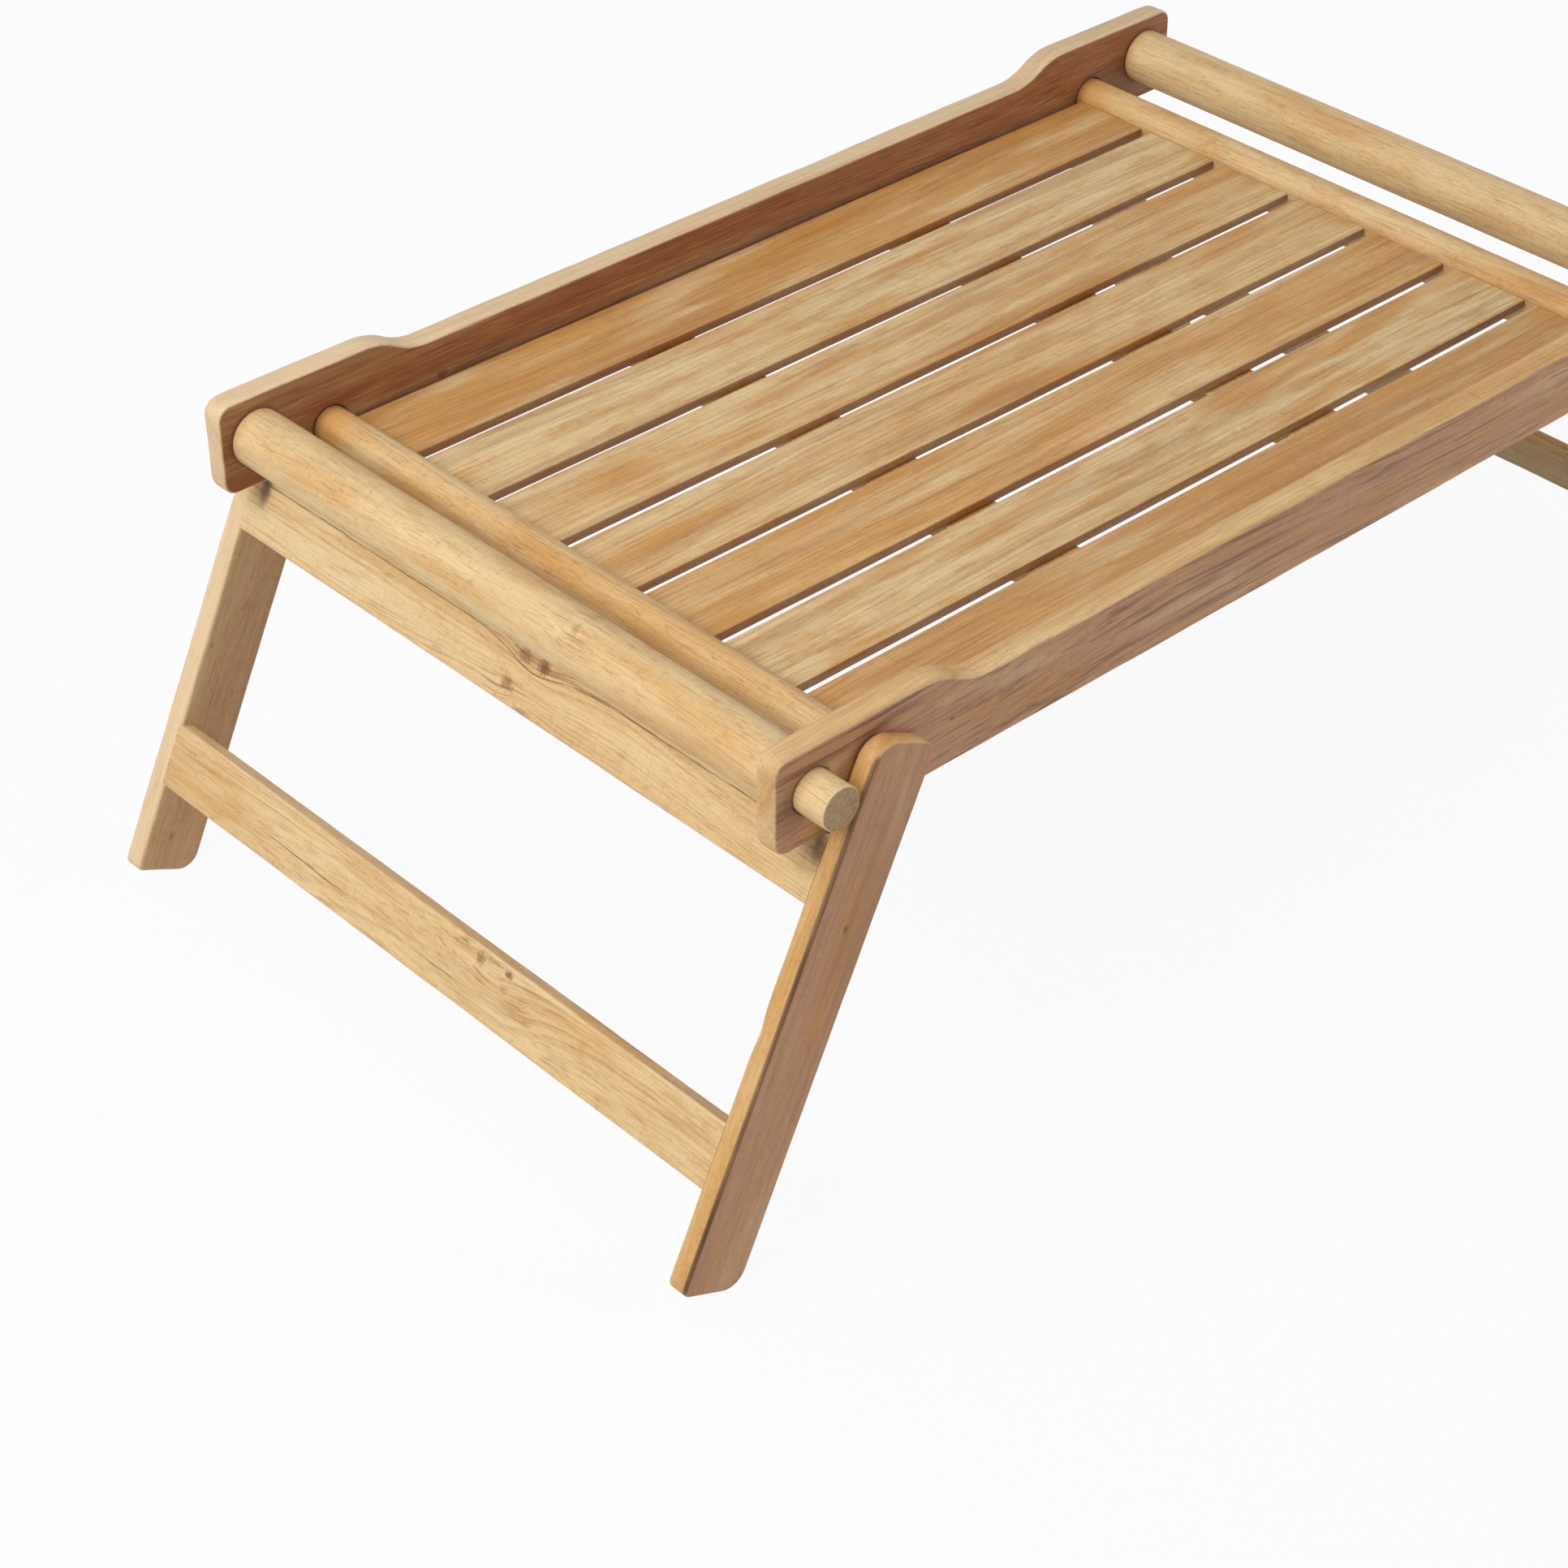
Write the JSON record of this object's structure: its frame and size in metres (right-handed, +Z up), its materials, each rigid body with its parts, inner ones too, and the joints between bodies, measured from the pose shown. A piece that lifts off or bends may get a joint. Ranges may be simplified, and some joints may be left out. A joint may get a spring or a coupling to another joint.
{
  "type": "bed tray table",
  "caption": "Wooden bed tray with a slatted floor, shaped side rails, dowel handles at both ends and leg frames that fold flat underneath.",
  "frame": {"origin": "on the floor, at the middle of the footprint, with both leg frames splayed for use", "axes": "+X along the tray towards its right leg frame, +Y across it towards the back rail, +Z up"},
  "size_m": [0.7094, 0.392, 0.2335],
  "materials": {
    "rail_wood": "satin oiled, straight brown-streaked grain",
    "slat_wood": "satin oiled, straight grain, shade differs from slat to slat",
    "batten_wood": "satin, plain grain",
    "leg_wood": "satin oiled, grain along the leg",
    "crossrail_wood": "satin oiled, grain along the board",
    "dowel_wood": "satin oiled, turned",
    "screw_steel": "zinc plated"
  },
  "bodies": {
    "tray": {"rail_front": "rail_wood", "rail_back": "rail_wood", "handle_left": "dowel_wood", "handle_right": "dowel_wood", "batten_left": "batten_wood", "batten_right": "batten_wood", "slat_1": "slat_wood", "slat_2": "slat_wood", "slat_3": "slat_wood", "slat_4": "slat_wood", "slat_5": "slat_wood", "slat_6": "slat_wood", "slat_7": "slat_wood", "slat_screws": "screw_steel"},
    "leg_frame_left": {"axle_left": "dowel_wood", "leg_left_front": "leg_wood", "leg_left_back": "leg_wood", "crossrail_upper_left": "crossrail_wood", "crossrail_lower_left": "crossrail_wood"},
    "leg_frame_right": {"axle_right": "dowel_wood", "leg_right_front": "leg_wood", "leg_right_back": "leg_wood", "crossrail_upper_right": "crossrail_wood", "crossrail_lower_right": "crossrail_wood"}
  },
  "joints": [
    {"name": "left_legs_fold", "type": "hinge", "parent": "tray", "child": "leg_frame_left", "pos_m": [-0.2394, 0, 0.20358], "axis": [0, -1, 0], "range_deg": [0, 115.6]},
    {"name": "right_legs_fold", "type": "hinge", "parent": "tray", "child": "leg_frame_right", "pos_m": [0.2394, 0, 0.20358], "axis": [0, 1, 0], "range_deg": [0, 115.6]}
  ]
}
